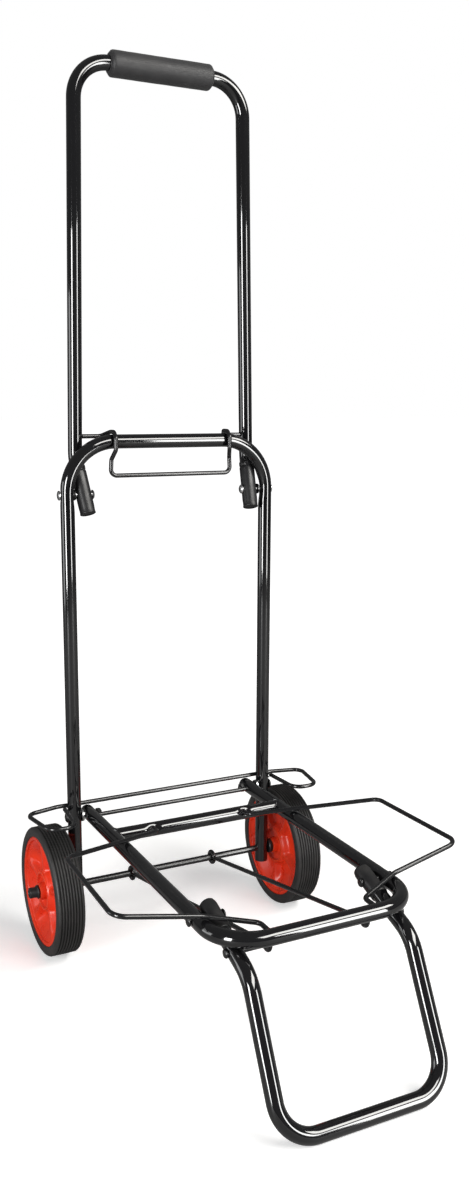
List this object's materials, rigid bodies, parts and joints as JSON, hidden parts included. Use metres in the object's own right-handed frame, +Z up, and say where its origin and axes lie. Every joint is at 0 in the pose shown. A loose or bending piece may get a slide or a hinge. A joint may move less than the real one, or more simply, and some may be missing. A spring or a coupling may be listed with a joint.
{
  "type": "folding luggage trolley",
  "caption": "Two-wheeled folding luggage cart: tube back frame, fold-down handle with foam grip, platform with wire side wings and a fold-away front foot.",
  "frame": {"origin": "on the floor, at the centre of the unfolded footprint", "axes": "+Z up, +Y towards the rear (the handle side), +X to the right seen from the front"},
  "size_m": [0.3896, 0.522, 1.014],
  "materials": {
    "painted_tube": "gloss black paint",
    "painted_wire": "satin black paint",
    "black_plastic": "satin",
    "zinc": "zinc plated",
    "red_plastic": "satin moulded",
    "tyre": "ribbed, matte",
    "foam": "closed-cell foam, matte"
  },
  "bodies": {
    "frame": {"back_frame": "painted_tube", "rear_rack_wire": "painted_wire", "axle": "painted_wire", "axle_washers": "black_plastic", "axle_caps": "black_plastic", "handle_rivets": "zinc", "rivet_washers": "painted_wire", "platform_bolts": "painted_wire", "platform_bolt_nuts": "painted_wire", "platform_spacers": "zinc"},
    "wheel_left": {"wheel_hub_left": "red_plastic", "tyre_left": "tyre"},
    "wheel_right": {"wheel_hub_right": "red_plastic", "tyre_right": "tyre"},
    "handle": {"top_handle": "painted_tube", "handle_sleeve_left": "black_plastic", "handle_sleeve_right": "black_plastic", "foam_grip": "foam"},
    "latch": {"latch_wire": "painted_wire"},
    "platform": {"platform_frame": "painted_tube", "cross_tube": "painted_tube", "platform_cross_wire": "painted_wire", "rail_end_plugs": "black_plastic", "foot_pivot_pins": "painted_wire"},
    "wing_left": {"wing_wire_left": "painted_wire"},
    "wing_right": {"wing_wire_right": "painted_wire"},
    "foot": {"foot_tube": "painted_tube", "foot_sleeve_left": "black_plastic", "foot_sleeve_right": "black_plastic", "foot_rod_heads": "painted_wire"},
    "stay": {"foot_cross_rod": "painted_wire", "stay_rod_left": "painted_wire", "stay_rod_right": "painted_wire"}
  },
  "joints": [
    {"name": "handle_fold", "type": "hinge", "parent": "frame", "child": "handle", "pos_m": [0, 0.189, 0.537], "axis": [-1, 0, 0], "range_deg": [0, 170]},
    {"name": "latch_swing", "type": "hinge", "parent": "frame", "child": "latch", "pos_m": [0, 0.2052, 0.6015], "axis": [-1, 0, 0], "range_deg": [0, 80]},
    {"name": "platform_fold", "type": "hinge", "parent": "frame", "child": "platform", "pos_m": [0, 0.186, 0.16], "axis": [-1, 0, 0], "range_deg": [0, 76]},
    {"name": "foot_fold", "type": "hinge", "parent": "platform", "child": "foot", "pos_m": [0, -0.114, 0.16], "axis": [1, 0, 0], "range_deg": [0, 113.7]},
    {"name": "stay_swing", "type": "hinge", "parent": "frame", "child": "stay", "pos_m": [0, 0.186, 0.075], "axis": [-1, 0, 0], "range_deg": [0, 62.5]},
    {"name": "wing_left_fold", "type": "hinge", "parent": "platform", "child": "wing_left", "pos_m": [-0.058, -0.014, 0.163], "axis": [0, 1, 0], "range_deg": [0, 165]},
    {"name": "wing_right_fold", "type": "hinge", "parent": "platform", "child": "wing_right", "pos_m": [0.058, -0.014, 0.163], "axis": [0, 1, 0], "range_deg": [-165, 0]},
    {"name": "wheel_left_spin", "type": "hinge", "parent": "frame", "child": "wheel_left", "pos_m": [-0.1545, 0.186, 0.075], "axis": [1, 0, 0], "continuous": true},
    {"name": "wheel_right_spin", "type": "hinge", "parent": "frame", "child": "wheel_right", "pos_m": [0.1545, 0.186, 0.075], "axis": [1, 0, 0], "continuous": true}
  ],
  "couplings": [
    {"joint": "foot_fold", "follows": "platform_fold", "ratio": 1.495},
    {"joint": "stay_swing", "follows": "platform_fold", "ratio": 0.8205}
  ]
}
